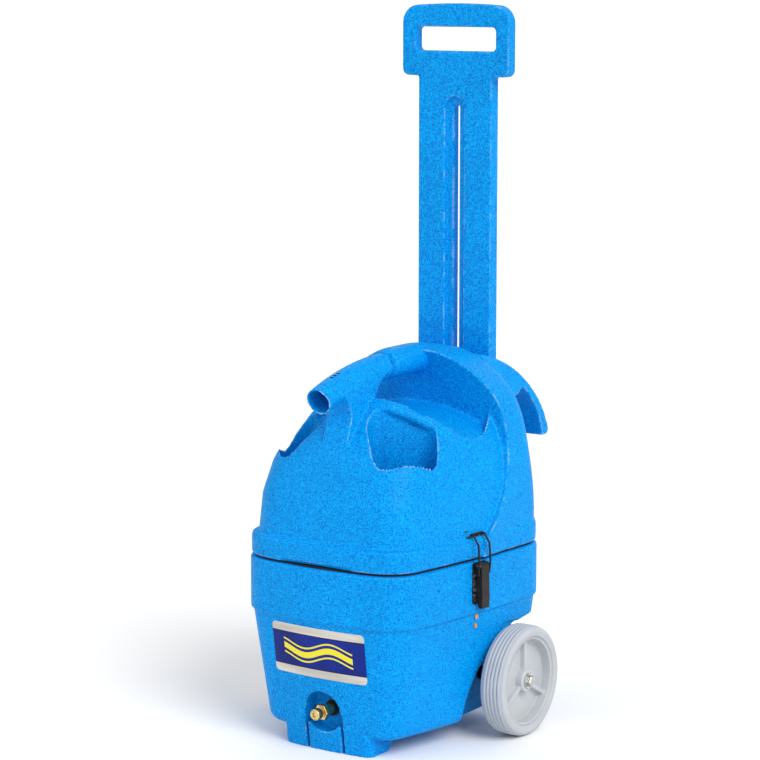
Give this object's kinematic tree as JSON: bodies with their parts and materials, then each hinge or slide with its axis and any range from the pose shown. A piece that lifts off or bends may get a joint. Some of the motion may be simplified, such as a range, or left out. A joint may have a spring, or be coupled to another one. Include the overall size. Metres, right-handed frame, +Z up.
{
  "type": "portable carpet spot extractor",
  "caption": "Wheeled carpet spot extractor: blue base tank, latched lift-off recovery dome with hose tube, bottle pockets and a slide-down pull handle.",
  "frame": {"origin": "on the floor, under the centre of the bounding box", "axes": "+Z up, -Y the front with the hose coupling and the label, +X the left side seen from behind"},
  "size_m": [0.3882, 0.442, 0.989],
  "materials": {
    "blue_plastic": "speckled rotomoulded",
    "grey_plastic": "moulded",
    "grey_tread": "ribbed",
    "black_steel": "satin",
    "zinc_steel": "zinc plated",
    "copper_rivet": "worn",
    "brass": "machined",
    "black_plastic": "moulded",
    "black_rubber": "moulded",
    "label_film": "printed film",
    "white_plastic": "moulded",
    "motor_steel": "painted",
    "clear_hose": "flexible hose"
  },
  "bodies": {
    "base": {"base_tank": "blue_plastic", "label_plate": "label_film", "coupling_body": "brass", "coupling_locknut": "brass", "coupling_o_ring": "black_rubber", "coupling_washer": "black_rubber", "equipment_deck": "black_plastic", "tank_bulkhead": "white_plastic", "fan_case": "black_plastic", "vac_motor": "motor_steel", "fan_inlet": "black_plastic", "inlet_seal": "black_rubber", "pump_motor": "motor_steel", "pump_head": "black_plastic", "pressure_hose": "clear_hose", "pickup_hose": "clear_hose", "pickup_strainer": "white_plastic", "switch_bezel": "black_plastic", "power_inlet": "black_plastic", "exhaust_grille": "black_plastic", "axle": "zinc_steel", "axle_bolts": "zinc_steel", "wheel_washers": "zinc_steel", "axle_spacers": "black_plastic", "latch_base_left": "black_steel", "latch_base_right": "black_steel", "latch_pins": "zinc_steel", "latch_rivets": "zinc_steel", "tank_rivets": "copper_rivet", "latch_backings": "zinc_steel", "dome_gasket": "black_rubber"},
    "dome": {"dome_shell": "blue_plastic", "standpipe": "white_plastic", "float_stop": "white_plastic", "latch_keepers": "black_steel", "guide_sleeve": "black_plastic", "guide_bolt": "zinc_steel", "guide_washer": "zinc_steel", "guide_nut": "zinc_steel"},
    "handle": {"pull_handle": "blue_plastic"},
    "wheel_left": {"wheel_hub_left": "grey_plastic", "tyre_left": "grey_tread"},
    "wheel_right": {"wheel_hub_right": "grey_plastic", "tyre_right": "grey_tread"},
    "lever_left": {"latch_lever_left": "black_plastic"},
    "lever_right": {"latch_lever_right": "black_plastic"},
    "bail_left": {"latch_bail_left": "black_steel"},
    "bail_right": {"latch_bail_right": "black_steel"},
    "float": {"float_collar": "white_plastic"},
    "fan": {"fan_rotor": "motor_steel", "motor_shaft": "zinc_steel"},
    "vacuum_switch": {"rocker_vacuum": "black_plastic"},
    "pump_switch": {"rocker_pump": "black_plastic"},
    "poppet": {"coupling_poppet": "brass"}
  },
  "joints": [
    {"name": "dome_lift", "type": "slide", "parent": "base", "child": "dome", "axis": [0, 0, 1], "range_m": [0, 0.3]},
    {"name": "handle_slide", "type": "slide", "parent": "dome", "child": "handle", "axis": [0, 0, 1], "range_m": [-0.37, 0]},
    {"name": "wheel_left_spin", "type": "hinge", "parent": "base", "child": "wheel_left", "pos_m": [0.17, 0.022, 0.0762], "axis": [1, 0, 0], "continuous": true},
    {"name": "wheel_right_spin", "type": "hinge", "parent": "base", "child": "wheel_right", "pos_m": [-0.17, 0.022, 0.0762], "axis": [1, 0, 0], "continuous": true},
    {"name": "lever_left_turn", "type": "hinge", "parent": "base", "child": "lever_left", "pos_m": [0.16141, -0.05693, 0.25], "axis": [-0.1324, -0.9912, 0], "range_deg": [0, 120]},
    {"name": "bail_left_turn", "type": "hinge", "parent": "lever_left", "child": "bail_left", "pos_m": [0.16339, -0.05719, 0.238], "axis": [-0.1324, -0.9912, 0], "range_deg": [-150, 0]},
    {"name": "lever_right_turn", "type": "hinge", "parent": "base", "child": "lever_right", "pos_m": [-0.16141, -0.05693, 0.25], "axis": [-0.1324, 0.9912, 0], "range_deg": [0, 120]},
    {"name": "bail_right_turn", "type": "hinge", "parent": "lever_right", "child": "bail_right", "pos_m": [-0.16339, -0.05719, 0.238], "axis": [-0.1324, 0.9912, 0], "range_deg": [-150, 0]},
    {"name": "float_rise", "type": "slide", "parent": "dome", "child": "float", "axis": [0, 0, 1], "range_m": [0, 0.0355]},
    {"name": "fan_spin", "type": "hinge", "parent": "base", "child": "fan", "pos_m": [0, 0.028, 0.16], "axis": [0, 0, 1], "continuous": true},
    {"name": "vacuum_switch_turn", "type": "hinge", "parent": "base", "child": "vacuum_switch", "pos_m": [0.082, 0.115, 0.23], "axis": [1, 0, 0], "range_deg": [0, 14]},
    {"name": "pump_switch_turn", "type": "hinge", "parent": "base", "child": "pump_switch", "pos_m": [0.082, 0.115, 0.202], "axis": [1, 0, 0], "range_deg": [0, 14]},
    {"name": "poppet_slide", "type": "slide", "parent": "base", "child": "poppet", "axis": [0, 1, 0], "range_m": [0, 0.003], "stiffness_N_per_m": 150}
  ],
  "couplings": [
    {"joint": "bail_left_turn", "follows": "lever_left_turn", "ratio": -1.25},
    {"joint": "bail_right_turn", "follows": "lever_right_turn", "ratio": -1.25}
  ]
}
